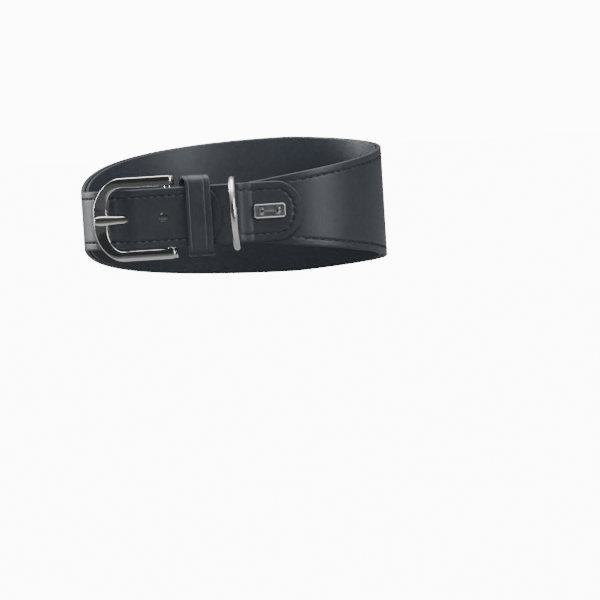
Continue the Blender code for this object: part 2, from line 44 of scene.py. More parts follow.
# camera: long lens, a little above the collar's middle and rolled
camera = {
    "azimuth": 0.26, "elevation": 1.4, "roll": 3.58,
    "distance": 1.193, "lens": 163.1, "sensor": 36, "middle": (0.0, 0.0, 0.031),
    "aside": -1.365, "above": 1.89,
}
azimuth, elevation = math.radians(camera["azimuth"]), math.radians(camera["elevation"])
level = math.cos(elevation)
back = Vector((math.sin(azimuth) * level, -math.cos(azimuth) * level, math.sin(elevation)))
cameraData = bpy.data.cameras.new("camera")
cameraData.lens, cameraData.sensor_width = camera["lens"], camera["sensor"]
cameraData.clip_start, cameraData.clip_end = 0.05, 30
cameraObject = bpy.data.objects.new("camera", cameraData)
scene.collection.objects.link(cameraObject)
cameraObject.location = Vector(camera["middle"]) + back * camera["distance"]
turned = (-back).to_track_quat("-Z", "Y")
# the camera is rolled first, and then turned off the collar within its rolled view
for axis, angle in (((0, 0, 1), -camera["roll"]), ((0, 1, 0), camera["aside"]), ((1, 0, 0), -camera["above"])):
    turned = turned @ Quaternion(axis, math.radians(angle))
cameraObject.rotation_mode = "QUATERNION"
cameraObject.rotation_quaternion = turned
scene.camera = cameraObject
print("camera placed")

# the collar seen from above: its narrow front is straight, and each corner is a quarter of an ellipse
ring = {
    "width": 124.8 * mm, "depth": 97.5 * mm, "frontLeft": 50.6 * mm, "frontRight": 22.0 * mm,
    "leftTurn": 22.0 * mm, "rightTurn": 48.0 * mm, "frontY": -39.05 * mm, "middleZ": 31.0 * mm,
}
# leather: a name with D is a distance outwards from the lining's inner face
leather = {
    "stripHalf": 12.5 * mm, "wideHalf": 31.0 * mm, "lensMiddle": 158.0 * mm, "lensFlat": 3.0 * mm,
    "rightReach": 150.0 * mm, "leftReach": 134.0 * mm, "rightPower": 1.25, "leftPower": 2.0,
    "softness": 0.7 * mm, "bandMiddle": 2.5 * mm, "bandThick": 2.0 * mm, "liningThick": 1.2 * mm,
    "foldThick": 1.8 * mm, "foldRadius": 2.95 * mm, "foldSlack": 0.4 * mm, "liningShort": 0.4 * mm,
    "innerPly": 2.4 * mm, "outerPly": 8.3 * mm, "patchPly": 4.7 * mm, "stepFrom": 1.4 * mm, "stepTo": 7.7 * mm,
    "liningBack": 4.5 * mm, "edge": 0.62 * mm, "liningEdge": 0.4 * mm, "tongueHigh": 10.5 * mm,
    "riseFrom": -52.8 * mm, "riseTo": -41.2 * mm, "risePower": 0.75, "tongueTip": -5.6 * mm,
    "tongueEnd": 9.0 * mm, "bandStart": 6.8 * mm, "patchEnd": 28.0 * mm, "patchRound": 10.0 * mm,
}
seam = {
    "inset": 3.2 * mm, "pitch": 3.1 * mm, "wide": 0.46 * mm, "deep": 0.2 * mm, "pull": 0.4 * mm,
    "patchFrom": 1.8 * mm, "patchShift": 0.6 * mm, "bandFrom": 2.0 * mm, "dipFrom": 4 * mm, "tongueStop": 15 * mm,
}
buckle = {
    "barX": -27.4 * mm, "barD": 5.35 * mm, "barRadius": 1.75 * mm, "endX": -59.5 * mm,
    "railWide": 4.3 * mm, "endRailWide": 5.6 * mm, "thick": 2.2 * mm, "arch": 2.9 * mm,
    "cornerLong": 8.5 * mm, "cornerTall": 11.0 * mm, "slimming": 0.35, "crown": 0.03 * mm, "edge": 0.55 * mm,
    "sideGap": 0.8 * mm, "endD": 4.99 * mm, "lugRadius": 2.6 * mm, "lugShort": 0.25 * mm, "barHalf": 16.5 * mm,
    "stopRound": 1.6 * mm, "railFrom": 2.4 * mm, "rim": 0.4 * mm,
}


def quarter(start, steps, first=0, last=None):
    # the angles of a quarter turn from start, in degrees, cut into so many steps
    last = steps if last is None else last
    return [math.radians(start + 90 * step / steps) for step in range(first, last + 1)]


def ringPlan():
    half, frontRight, frontLeft = ring["width"] / 2, ring["frontRight"], ring["frontLeft"]
    rightTurn, leftTurn, depth = ring["rightTurn"], ring["leftTurn"], ring["depth"]
    points = [Vector((0.0, 0.0))]
    for middle, reach, start in (
        ((frontRight, rightTurn), (half - frontRight, rightTurn), 270),
        ((0.0, rightTurn), (half, depth - rightTurn), 0),
        ((0.0, leftTurn), (half, depth - leftTurn), 90),
        ((-frontLeft, leftTurn), (half - frontLeft, leftTurn), 180),
    ):
        for angle in quarter(start, 400, last=399):
            x, y = middle[0] + reach[0] * math.cos(angle), middle[1] + reach[1] * math.sin(angle)
            points.append(Vector((x, y)))
    points += [Vector((-frontLeft, 0.0)), Vector((0.0, 0.0))]
    return [point + Vector((0.0, ring["frontY"])) for point in points]


plan = ringPlan()
planLength = [0.0]
for first, second in zip(plan, plan[1:]):
    planLength.append(planLength[-1] + (second - first).length)
around = planLength[-1]


def place(s, d=0.0):
    # the point s along the ring and d out from the lining's face, seen from above; s starts at the front's x = 0
    s %= around
    low, high = 0, len(planLength) - 1
    while high - low > 1:
        middle = (low + high) // 2
        if planLength[middle] <= s:
            low = middle
        else:
            high = middle
    part = (s - planLength[low]) / (planLength[low + 1] - planLength[low])
    last = len(plan) - 2
    if part > 0.5:
        other = plan[min(low + 2, last + 1)] - plan[min(low + 1, last)]
    else:
        other = plan[low] - plan[max(low - 1, 0)]
    along = (plan[low + 1] - plan[low]).normalized()
    if other.length > 0:
        along = along.lerp(other.normalized(), abs(part - 0.5)).normalized()
    return plan[low].lerp(plan[low + 1], part) + Vector((along.y, -along.x)) * d


def bandHalf(s):
    # half of the band's height, which swells from the narrow front to the wide back
    s %= around
    side = "left" if s > leather["lensMiddle"] else "right"
    away = max(0.0, abs(s - leather["lensMiddle"]) - leather["lensFlat"])
    away /= leather[side + "Reach"] - leather["lensFlat"]
    swell = (leather["wideHalf"] - leather["stripHalf"]) * (1 - away ** leather[side + "Power"])
    return min(leather["wideHalf"], leather["stripHalf"] + (swell + math.hypot(swell, leather["softness"])) / 2)


def ease(value, start, end):
    part = min(1.0, max(0.0, (value - start) / (end - start)))
    return part * part * (3 - 2 * part)


def tongueD(x):
    # the band's middle, which climbs from the ring onto the buckle
    climb = ease(x, leather["riseFrom"], leather["riseTo"]) ** leather["risePower"]
    return leather["bandMiddle"] + (leather["tongueHigh"] - leather["bandMiddle"]) * climb


def outerPlyD(x):
    drop = leather["outerPly"] - leather["patchPly"]
    return leather["outerPly"] - drop * ease(x, leather["stepFrom"], leather["stepTo"])


def spaced(start, end, step):
    count = max(1, round(abs(end - start) / step))
    return [start + (end - start) * index / count for index in range(count + 1)]


def lengthsAlong(line):
    lengths = [0.0]
    for first, second in zip(line, line[1:]):
        lengths.append(lengths[-1] + math.dist(first, second))
    return lengths


def raised(x, d, up):
    # a point of the straight front: x along it, d out and up from the strap's middle line
    return Vector((x, ring["frontY"] - d, ring["middleZ"] + up))


def deselectAll():
    bpy.ops.object.select_all(action="DESELECT")


def selectOnly(piece):
    deselectAll()
    piece.select_set(True)
    bpy.context.view_layer.objects.active = piece


def formed(name, rings, looped=False, angle=40):
    # a grid primitive whose columns are carried to the rings of places, then sewn into one closed skin
    deselectAll()
    ringCount, sides = len(rings), len(rings[0])
    columns = ringCount + 1 if looped else ringCount
    bpy.ops.mesh.primitive_grid_add(x_subdivisions=columns - 1, y_subdivisions=sides, size=1)
    piece = bpy.context.object
    piece.name = piece.data.name = name
    for index, vertex in enumerate(piece.data.vertices):
        column, row = index % columns, index // columns
        vertex.co = rings[column % ringCount][row % sides]
    bpy.ops.object.mode_set(mode="EDIT")
    bpy.ops.mesh.select_all(action="SELECT")
    bpy.ops.mesh.remove_doubles(threshold=0.000001)
    if not looped:
        bpy.ops.mesh.select_all(action="DESELECT")
        bpy.ops.mesh.select_mode(type="EDGE")
        bpy.ops.mesh.select_non_manifold()
        bpy.ops.mesh.fill_holes(sides=0)
    bpy.ops.mesh.select_all(action="SELECT")
    bpy.ops.mesh.normals_make_consistent(inside=False)
    bpy.ops.mesh.select_mode(type="VERT")
    bpy.ops.object.mode_set(mode="OBJECT")
    bpy.ops.object.shade_smooth_by_angle(angle=math.radians(angle))
    return piece


def cutAway(piece, cutter):
    modifier = piece.modifiers.new("cut", "BOOLEAN")
    modifier.operation = "DIFFERENCE"
    modifier.solver = "EXACT"
    modifier.object = cutter
    selectOnly(piece)
    bpy.ops.object.modifier_apply(modifier=modifier.name)
    bpy.data.objects.remove(cutter)
    bpy.ops.object.shade_smooth_by_angle(angle=math.radians(40))


def joined(name, pieces):
    deselectAll()
    for piece in pieces:
        piece.select_set(True)
    bpy.context.view_layer.objects.active = pieces[0]
    bpy.ops.object.join()
    pieces[0].name = pieces[0].data.name = name
    return pieces[0]


def finishPlace(piece):
    # the object goes to the origin and its place into its mesh
    selectOnly(piece)
    bpy.ops.object.transform_apply(location=True, rotation=True, scale=True)


def softened(piece, width, segments):
    # a bevel all over, and flat faces left flat
    rim = piece.modifiers.new("rim", "BEVEL")
    rim.width, rim.segments = width, segments
    selectOnly(piece)
    bpy.ops.object.modifier_apply(modifier=rim.name)
    finishPlace(piece)
    bpy.ops.object.shade_smooth_by_angle(angle=math.radians(35))


def seamDip(distance, along):
    # the leather is drawn in along the seam, and a little more where the needle went through
    near = math.exp(-((distance / seam["wide"]) ** 2))
    nick = 0.5 + 0.5 * math.cos(math.tau * along / seam["pitch"])
    return (seam["deep"] + seam["pull"] * nick ** 3) * near


def strapSection(half, thick, faceDip, rows, edge=leather["edge"]):
    # one turn round a strap's section: over the outer face from the top edge down, back over the inner face
    out = thick / 2
    edge = min(edge, half * 0.45)
    soft = min(edge, out * 0.95)
    flat = half - edge
    rise = [(soft * (1 - math.sin(angle)), edge * (1 - math.cos(angle))) for angle in quarter(0, 4)]
    fall = [(soft * (1 - math.cos(angle)), edge * (1 - math.sin(angle))) for angle in quarter(0, 4)]
    section = [(out - across, half - down) for across, down in rise]
    section += [(out - faceDip(flat * part), flat * part) for part in rows]
    section += [(out - across, down - half) for across, down in fall]
    section.append((0.0, -half))
    section += [(across - out, down - half) for across, down in rise[1:]]
    section += [(-out, -flat * 0.5), (-out, 0.0), (-out, flat * 0.5)]
    return section + [(across - out, half - down) for across, down in fall]


def seamRows(half):
    # rows of points down the outer face, as parts of its flat half, close together beside the two seams
    flat = half - leather["edge"]
    rows = [0.985, -0.985, 0.0, 0.3, -0.3, 0.55, -0.55]
    for offset in (-1.3, -0.8, -0.55, -0.35, -0.17, 0.0, 0.17, 0.35, 0.55, 0.8, 1.3):
        part = (half - seam["inset"] + offset * mm) / flat
        rows += [part, -part]
    return sorted(rows, reverse=True)


def ribbon(name, centres, sections, angle=50):
    rings = []
    last = len(centres) - 1
    for index, (centre, section) in enumerate(zip(centres, sections)):
        along = centres[min(index + 1, last)] - centres[max(index - 1, 0)]
        out = Vector((along.y, -along.x)).normalized()
        rings.append([Vector((*(centre + out * a), ring["middleZ"] + b)) for a, b in section])
    return formed(name, rings, angle=angle)


def roundedEnd(length, half, steps, smallest=5.0):
    # pairs of how far back from the tip and how high, from the tip to where the strap has its full height
    angles = [math.radians(smallest + (90 - smallest) * step / steps) for step in range(steps)]
    return [(length * (1 - math.cos(angle)), half * math.sin(angle)) for angle in angles]


def plainDip(up):
    return 0.0


def makeBand():
    centres, sections = [], []
    tipFrom = around + leather["tongueTip"] - leather["tongueEnd"]
    for s in spaced(leather["bandStart"], tipFrom, seam["pitch"] / 4)[:-1]:
        half = bandHalf(s)
        centres.append(place(s, tongueD(s - around)))
        sewn = s > leather["patchEnd"] - seam["dipFrom"]

        def dip(up, s=s, half=half, sewn=sewn):
            return seamDip(abs(half - abs(up) - seam["inset"]), s) if sewn else 0.0

        sections.append(strapSection(half, leather["bandThick"], dip, seamRows(half)))
    rows = seamRows(leather["stripHalf"])
    for fromTip, half in reversed(roundedEnd(leather["tongueEnd"], leather["stripHalf"], 14)):
        centres.append(place(leather["tongueTip"] - fromTip, leather["tongueHigh"]))
        sections.append(strapSection(half, leather["bandThick"], plainDip, rows))
    return ribbon("bandLeather", centres, sections)


def makeLining():
    centres, sections = [], []
    thick, rows = leather["liningThick"], (0.98, 0.5, 0.0, -0.5, -0.98)
    for s in spaced(buckle["barX"] - leather["liningBack"], around + leather["riseFrom"], 1.6 * mm):
        centres.append(place(s, thick / 2))
        half = bandHalf(s) - leather["liningShort"]
        sections.append(strapSection(half, thick, plainDip, rows, leather["liningEdge"]))
    return ribbon("bandLining", centres, sections)


def patchSeam():
    # the seam's line on the patch as (x, up), from the upper row round the end to the lower row
    row = leather["stripHalf"] - seam["inset"]
    end = leather["patchEnd"] - leather["patchRound"]
    reach = leather["patchRound"] - seam["inset"]
    line = [(x, row) for x in spaced(seam["patchFrom"], end, 0.4 * mm)]
    line += [(end + reach * math.sin(angle), row * math.cos(angle)) for angle in quarter(0, 40, first=1)]
    return line + [(x, -up) for x, up in reversed(line[:-1])]


def makeFold():
    seamLine = patchSeam()
    lengths = lengthsAlong(seamLine)
    full, radius, end = leather["stripHalf"], leather["foldRadius"], leather["patchEnd"] - leather["patchRound"]
    # each stop is a centre, half of the height there, and the x that places the seam, if it is sewn
    stops = []
    for x in spaced(leather["bandStart"] - leather["foldSlack"], buckle["barX"], 2 * mm):
        stops.append((place(x, leather["innerPly"]), full, None))
    for step in range(1, 24):
        angle = math.radians(180 * step / 24)
        x, d = buckle["barX"] - radius * math.sin(angle), buckle["barD"] - radius * math.cos(angle)
        stops.append((place(x, d), full, None))
    stops += [(place(x, leather["outerPly"]), full, x) for x in spaced(buckle["barX"], 0.0, 1.5 * mm)]
    stops += [(place(x, outerPlyD(x)), full, x) for x in spaced(0.0, end, 0.5 * mm)[1:-1]]
    for fromTip, half in reversed(roundedEnd(leather["patchRound"], full, 30, 3.0)):
        x = leather["patchEnd"] - fromTip
        stops.append((place(x, leather["patchPly"]), half, x))
    rows = [1 - 2 * index / 48 for index in range(1, 48)]
    sections = []
    for centre, half, x in stops:
        def dip(up, x=x):
            if x is None or x < 0:
                return 0.0
            best = min(range(len(seamLine)), key=lambda i: (seamLine[i][0] - x) ** 2 + (seamLine[i][1] - up) ** 2)
            return seamDip(math.dist(seamLine[best], (x, up)), lengths[best] + seam["patchShift"])

        sections.append(strapSection(half, leather["foldThick"], dip, rows))
    return ribbon("buckleStrap", [stop[0] for stop in stops], sections)


keeper = {
    "left": -20.2 * mm, "wide": 10.7 * mm, "tall": 34.2 * mm, "thick": 1.8 * mm, "corner": 2.6 * mm,
    "innerD": 6.2 * mm, "outerD": 12.7 * mm, "leftCrease": 1.7 * mm, "rightCrease": 2.7 * mm,
    "creaseDeep": 0.22 * mm, "creaseWide": 0.3 * mm, "bulge": 0.35 * mm, "skew": 2.6 * mm,
}


def makeKeeper():
    tall = keeper["tall"] / 2 - keeper["thick"] / 2
    corner, half = keeper["corner"], keeper["wide"] / 2
    near, far, reach = keeper["innerD"] + corner, keeper["outerD"] - corner, tall - corner
    middle = keeper["left"] + half
    line = []
    for centreD, centreZ, start in ((far, reach, 0), (near, reach, 90), (near, -reach, 180), (far, -reach, 270)):
        for angle in quarter(start, 8):
            line.append((centreD + corner * math.cos(angle), centreZ + corner * math.sin(angle), angle))
    line += [(keeper["outerD"], up, math.tau) for up in spaced(-reach, reach, 2 * mm)[1:-1]]
    flat = half - leather["edge"]
    rows = {0.97, 0.0, 0.2, -0.2, -0.97}
    for crease in (half - keeper["rightCrease"], keeper["leftCrease"] - half):
        for offset in (-1.0, -0.6, -0.4, -0.25, -0.12, 0.0, 0.12, 0.25, 0.4, 0.6, 1.0):
            rows.add((crease + offset * mm) / flat)
    rows = sorted((row for row in rows if abs(row) < 0.985), reverse=True)

    def creased(up):
        nearest = min(abs(half - up - keeper["rightCrease"]), abs(half + up - keeper["leftCrease"]))
        return keeper["creaseDeep"] * math.exp(-((nearest / keeper["creaseWide"]) ** 2))

    rings = []
    for d, up, angle in line:
        crown = keeper["bulge"] * max(0.0, math.cos(angle)) * max(0.0, 1 - (up / tall) ** 2)
        turn = []
        for a, b in strapSection(half, keeper["thick"], creased, rows):
            # the top turn is drawn to the left, most of all behind the strap
            drawn = keeper["skew"] * (1 - math.cos(angle)) / 2 * ease(up, -tall * 0.2, tall * 0.7)
            turn.append(raised(middle + b - drawn, d + crown + a * math.cos(angle), up + a * math.sin(angle)))
        rings.append(turn)
    return formed("keeperLoop", rings, looped=True)


stitch = {
    "long": 2.3 * mm, "thick": 0.6 * mm, "lean": 7.0, "loose": 4.0, "sunk": 0.12 * mm,
    "endThinner": 0.15, "endDown": 0.13 * mm,
}


def makeStitch():
    deselectAll()
    bpy.ops.mesh.primitive_uv_sphere_add(segments=8, ring_count=8, radius=0.5)
    piece = bpy.context.object
    for vertex in piece.data.vertices:
        # a short rod with round ends along X
        end = 1.0 if vertex.co.z > 0 else -1.0
        reach = (stitch["long"] - stitch["thick"]) / 2 * end + vertex.co.z * stitch["thick"]
        if abs(vertex.co.z) < 0.001:
            reach = 0.0
        vertex.co = Vector((reach, vertex.co.x * stitch["thick"], vertex.co.y * stitch["thick"]))
        droop = (abs(reach) / (stitch["long"] / 2)) ** 2
        vertex.co.y *= 1 - stitch["endThinner"] * droop
        vertex.co.z -= stitch["endDown"] * droop
    bpy.ops.object.shade_smooth()
    return piece


def sewRow(name, places):
    # every place is a point, the direction of the thread and the way out of the leather
    chance = random.Random(name)
    model = makeStitch()
    made = []
    for point, along, out in places:
        copy = model.copy()
        copy.data = model.data.copy()
        scene.collection.objects.link(copy)
        across = out.cross(along).normalized()
        matrix = Matrix((along, across, out)).transposed().to_4x4()
        angle = stitch["lean"] + chance.uniform(-stitch["loose"], stitch["loose"])
        lean = Matrix.Rotation(math.radians(angle), 4, "Z")
        size = Matrix.Diagonal((chance.uniform(0.94, 1.04), 1.0, 1.0, 1.0))
        copy.matrix_world = Matrix.Translation(point) @ matrix @ lean @ size
        made.append(copy)
    bpy.data.objects.remove(model)
    bpy.context.view_layer.update()
    whole = joined(name, made)
    finishPlace(whole)
    return whole


def onSeam(s, side):
    up = side * (bandHalf(s) - seam["inset"])
    return Vector((*place(s, tongueD(s - around)), ring["middleZ"] + up))


def bandStitches(name, side):
    places = []
    first = math.ceil((leather["patchEnd"] - seam["bandFrom"]) / seam["pitch"])
    s = first * seam["pitch"] + seam["pitch"] / 2
    while s < around - seam["tongueStop"]:
        along = (onSeam(s + 0.4 * mm, side) - onSeam(s - 0.4 * mm, side)).normalized()
        out = along.cross(Vector((0, 0, 1)))
        out = Vector((out.x, out.y, 0)).normalized()
        out = (out - along * out.dot(along)).normalized()
        places.append((onSeam(s, side) + out * (leather["bandThick"] / 2 - stitch["sunk"]), along, out))
        s += seam["pitch"]
    return sewRow(name, places)


def patchStitches(name):
    line = patchSeam()
    lengths = lengthsAlong(line)
    places = []
    for index in range(int(lengths[-1] / seam["pitch"])):
        want = max(0.3 * mm, seam["pitch"] * (index + 0.5) - seam["patchShift"])
        at = next(i for i, length in enumerate(lengths) if length >= want)
        x, up = line[at]
        before, after = line[max(at - 1, 0)], line[min(at + 1, len(line) - 1)]
        lean = math.atan2(outerPlyD(x + 0.1 * mm) - outerPlyD(x - 0.1 * mm), 0.2 * mm)
        flat = Vector((after[0] - before[0], after[1] - before[1])).normalized()
        along = Vector((flat.x, -flat.x * math.tan(lean), flat.y)).normalized()
        out = Vector((-math.sin(lean), -math.cos(lean), 0.0))
        point = Vector((*place(x, outerPlyD(x)), ring["middleZ"] + up))
        places.append((point + out * (leather["foldThick"] / 2 - stitch["sunk"]), along, out))
    return sewRow(name, places)


def makeFrame():
    middleZ = leather["stripHalf"] + buckle["sideGap"] + buckle["railWide"] / 2
    endX = buckle["endX"] + buckle["endRailWide"] / 2
    cornerLong, cornerTall = buckle["cornerLong"], buckle["cornerTall"]
    cornerX, stopX = endX + cornerLong, buckle["barX"] + buckle["lugRadius"] * 0.64
    # each stop is x, z, the way the rail faces in degrees and how full its section is
    stops = []
    for step in range(8):
        angle = math.radians(4 + 86 * step / 7)
        stops.append((stopX - buckle["stopRound"] * (1 - math.cos(angle)), middleZ, 90.0, math.sin(angle)))
    stops += [(x, middleZ, 90.0, 1.0) for x in spaced(stopX - buckle["railFrom"], cornerX, 1.5 * mm)]
    for angle in quarter(90, 30, first=1):
        x, z = cornerX + cornerLong * math.cos(angle), middleZ - cornerTall + cornerTall * math.sin(angle)
        facing = math.atan2(math.sin(angle) / cornerTall, math.cos(angle) / cornerLong)
        stops.append((x, z, math.degrees(facing), 1.0))
    lowest = stops[-1][1]
    upper = list(stops)
    stops += [(endX, z, 180.0, 1.0) for z in spaced(lowest, -lowest, 1 * mm)[1:-1]]
    stops += [(x, -z, -angle, size) for x, z, angle, size in reversed(upper)]
    rings = []
    for x, z, angle, size in stops:
        turn = math.radians(angle)
        blend = abs(math.cos(turn))
        half = (buckle["railWide"] * (1 - blend) + buckle["endRailWide"] * blend) / 2 * size
        part = max(0.0, min(1.0, (x - endX) / (buckle["barX"] - endX)))
        middleD = buckle["endD"] + buckle["arch"] * (1 - (1 - part) ** 3)
        slim = 1 - buckle["slimming"] * abs(math.sin(2 * turn))
        thick = buckle["thick"] / 2 * (0.5 + 0.5 * size)
        edge = min(buckle["edge"], half * 0.5)
        rings.append([])
        for right, up, start in ((1, 1, 0), (-1, 1, 90), (-1, -1, 180), (1, -1, 270)):
            for corner in quarter(start, 4):
                a = right * (half - edge) + edge * math.cos(corner)
                b = up * (thick - edge) + edge * math.sin(corner)
                crown = buckle["crown"] * max(0.0, 1 - (a / half) ** 2) if b > 0 else 0.0
                a = a * slim if a > 0 else a
                rings[-1].append(raised(x + math.cos(turn) * a, middleD + b + crown, z + math.sin(turn) * a))
    pieces = [formed("buckleFrame", rings, angle=35)]
    lugHigh = buckle["railWide"] - buckle["lugShort"]
    lugMiddle = middleZ - buckle["lugShort"] / 2
    for up, tall, radius in (
        (0.0, 2 * buckle["barHalf"], buckle["barRadius"]),
        (lugMiddle, lugHigh, buckle["lugRadius"]), (-lugMiddle, lugHigh, buckle["lugRadius"]),
    ):
        where = raised(buckle["barX"], buckle["barD"], up)
        deselectAll()
        bpy.ops.mesh.primitive_cylinder_add(vertices=48, radius=radius, depth=tall, location=where)
        pieces.append(bpy.context.object)
        softened(pieces[-1], buckle["rim"], 3)
    return joined("buckleFrame", pieces)


prong = {
    "loopRadius": 2.85 * mm, "loopThick": 1.6 * mm, "thick": 1.9 * mm, "wide": 3.3 * mm, "tipWide": 4.0 * mm,
    "rest": -56.7 * mm, "restD": 7.49 * mm, "tipX": -59.2 * mm, "flatFrom": -43.0 * mm, "play": 0.8 * mm,
    "square": 0.3, "round": 0.65, "hole": 2.1 * mm, "freeHole": 1.9 * mm, "holePitch": 15.8 * mm,
    "slotShift": 0.6 * mm, "slotD": 6.3 * mm, "slotSize": (10.3 * mm, 10.0 * mm, 4.8 * mm),
}


def prongD(x):
    part = min(1.0, (buckle["barX"] - x) / (buckle["barX"] - prong["rest"]))
    return (buckle["barD"] + prong["loopRadius"]) * (1 - part) + prong["restD"] * part


def makeProng():
    loopRadius, thick, wide, tipWide = (prong[key] for key in ("loopRadius", "thick", "wide", "tipWide"))
    rest = prong["rest"]
    # each stop is x, d, half of the thickness and half of the width
    stops = []
    for step in range(31):
        angle = math.radians(-215 + 305 * step / 30)
        x, d = buckle["barX"] + loopRadius * math.cos(angle), buckle["barD"] + loopRadius * math.sin(angle)
        stops.append((x, d, prong["loopThick"] / 2, wide / 2 + 0.15 * mm))
    for x in spaced(buckle["barX"] - 2.5 * mm, rest, 0.8 * mm):
        tip = ease(-x, -rest - 8 * mm, -rest - 1 * mm)
        stops.append((x, prongD(x), thick / 2, (wide + (tipWide - wide) * tip) / 2))
    for step in range(1, 9):
        angle = math.radians(90 * step / 8.4)
        x, narrow = rest - (rest - prong["tipX"]) * math.sin(angle), math.cos(angle)
        stops.append((x, prong["restD"], thick / 2 * narrow ** 0.5, tipWide / 2 * narrow ** 0.45))
    rings = []
    last = len(stops) - 1
    for index, (x, d, high, broad) in enumerate(stops):
        after, before = stops[min(index + 1, last)], stops[max(index - 1, 0)]
        along = Vector((after[0] - before[0], after[1] - before[1])).normalized()
        power = prong["square"] if x > prong["flatFrom"] else prong["round"]
        turn = []
        for corner in range(24):
            up, side = math.sin(math.tau * corner / 24), math.cos(math.tau * corner / 24)
            a = high * math.copysign(abs(up) ** power, up)
            b = broad * math.copysign(abs(side) ** power, side)
            turn.append(raised(x - along.y * a, d + along.x * a, b))
        rings.append(turn)
    return formed("buckleProng", rings, angle=50)


leash = {
    "tall": 14.3 * mm, "side": 5.5 * mm, "bow": 11.0 * mm, "corner": 2.6 * mm, "wire": 1.4 * mm,
    "barD": 5.0 * mm, "lean": 0.028, "swing": 0.03,
}


def makeLeashRing():
    tall, side, bow, corner = (leash[key] for key in ("tall", "side", "bow", "corner"))
    # half of the ring as (d, z): the bar, its corner, the straight side and the bow
    half = [(0.0, z) for z in spaced(0.0, tall - corner, 2 * mm)]
    for angle in quarter(0, 8, first=1):
        half.append((corner * (1 - math.cos(angle)), tall - corner * (1 - math.sin(angle))))
    half += [(d, tall) for d in spaced(corner, side, 1 * mm)[1:]]
    half += [(side + bow * math.sin(angle), tall * math.cos(angle)) for angle in quarter(0, 30, first=1)]
    line = half + [(d, -z) for d, z in reversed(half[1:-1])]
    rings = []
    for index, (d, z) in enumerate(line):
        after, before = line[(index + 1) % len(line)], line[index - 1]
        along = Vector((after[0] - before[0], after[1] - before[1])).normalized()
        # the bar stays straight in its fold, and only the bow leans
        askew = -leash["lean"] * z * ease(d, 0.0, side) - leash["swing"] * max(0.0, d)
        turn = []
        for step in range(20):
            angle = math.tau * step / 20
            a, b = leash["wire"] * math.cos(angle), leash["wire"] * math.sin(angle)
            turn.append(raised(b + askew, leash["barD"] + d + along.y * a, z - along.x * a))
        rings.append(turn)
    return formed("leashRing", rings, looped=True)


plate = {
    "left": 8.0 * mm, "wide": 13.4 * mm, "tall": 6.0 * mm, "lowD": 5.9 * mm, "highD": 7.1 * mm,
    "rim": 0.42 * mm, "sunk": 0.35 * mm, "corner": 1.2 * mm, "cornerLeast": 0.25 * mm,
    "boneHalf": 3.5 * mm, "boneLobe": 0.95 * mm, "boneRim": 0.05 * mm,
}


def plateRing(inset, d):
    x0, x1, half = plate["left"] + inset, plate["left"] + plate["wide"] - inset, plate["tall"] / 2 - inset
    corner = max(plate["cornerLeast"], plate["corner"] - inset)
    left, right, up = x0 + corner, x1 - corner, half - corner
    turn = []
    for x, z, start in ((right, up, 0), (left, up, 90), (left, -up, 180), (right, -up, 270)):
        for angle in quarter(start, 6):
            turn.append(raised(x + corner * math.cos(angle), d, z + corner * math.sin(angle)))
    return turn


def makePlate():
    high, rim, lobe = plate["highD"], plate["rim"], plate["boneLobe"]
    # from the back over the rounded outer edge, across the rim and down to the sunk field
    steps = [(0.0, plate["lowD"])]
    for inset, down in ((0.0, 0.3), (0.06, 0.12), (0.16, 0.03), (0.28, 0.0)):
        steps.append((inset * mm, high - down * mm))
    steps += [(rim, high), (rim + 0.08 * mm, high - 0.06 * mm), (rim + 0.14 * mm, high - plate["sunk"])]
    pieces = [formed("namePlate", [plateRing(inset, d) for inset, d in steps], angle=35)]
    # a raised bone stands in the sunk field
    middleX, boneD = plate["left"] + plate["wide"] / 2, high - plate["sunk"] * 0.5
    for side in (-1, 1):
        for up in (-1, 1):
            where = raised(middleX + side * plate["boneHalf"], boneD, up * lobe * 0.75)
            bpy.ops.mesh.primitive_cylinder_add(
                vertices=32, radius=lobe, depth=plate["sunk"], location=where, rotation=(math.pi / 2, 0, 0))
            pieces.append(bpy.context.object)
    bpy.ops.mesh.primitive_cube_add(size=1, location=raised(middleX, boneD, 0.0))
    shaft = bpy.context.object
    shaft.scale = (plate["boneHalf"] * 2, plate["sunk"], lobe * 1.1)
    pieces.append(shaft)
    for piece in pieces[1:]:
        softened(piece, plate["boneRim"], 2)
    return joined("namePlate", pieces)


class Value:
    # wraps a socket so that sums can be written plainly
    def __init__(self, graph, socket):
        self.graph, self.socket = graph, socket

    def combine(self, operation, other, swapped=False):
        first, second = (other, self) if swapped else (self, other)
        return self.graph.node("ShaderNodeMath", {"operation": operation}, {0: first, 1: second})

    def __add__(self, other): return self.combine("ADD", other)
    def __radd__(self, other): return self.combine("ADD", other, True)
    def __mul__(self, other): return self.combine("MULTIPLY", other)
    def __rmul__(self, other): return self.combine("MULTIPLY", other, True)


class Graph:
    def __init__(self, tree):
        self.tree = tree

    def node(self, kind, settings, inputs, output=0):
        made = self.tree.nodes.new(kind)
        for key, value in settings.items():
            setattr(made, key, value)
        for key, value in inputs.items():
            self.feed(made.inputs[key], value)
        return Value(self, made.outputs[output])

    def feed(self, socket, value):
        if isinstance(value, Value):
            self.tree.links.new(value.socket, socket)
        elif isinstance(value, tuple) and len(value) == 3 and len(socket.default_value) == 4:
            socket.default_value = (*value, 1.0)
        else:
            socket.default_value = value

    def spread(self, value, first, last, low, high):
        # first to last becomes low to high, and nothing goes past them
        ends = {"From Min": first, "From Max": last, "To Min": low, "To Max": high}
        return self.node("ShaderNodeMapRange", {}, {"Value": value, **ends})

    def part(self, vector, axis):
        return self.node("ShaderNodeSeparateXYZ", {}, {0: vector}, axis)

    def cameraSees(self):
        return self.node("ShaderNodeLightPath", {}, {}, "Is Camera Ray")


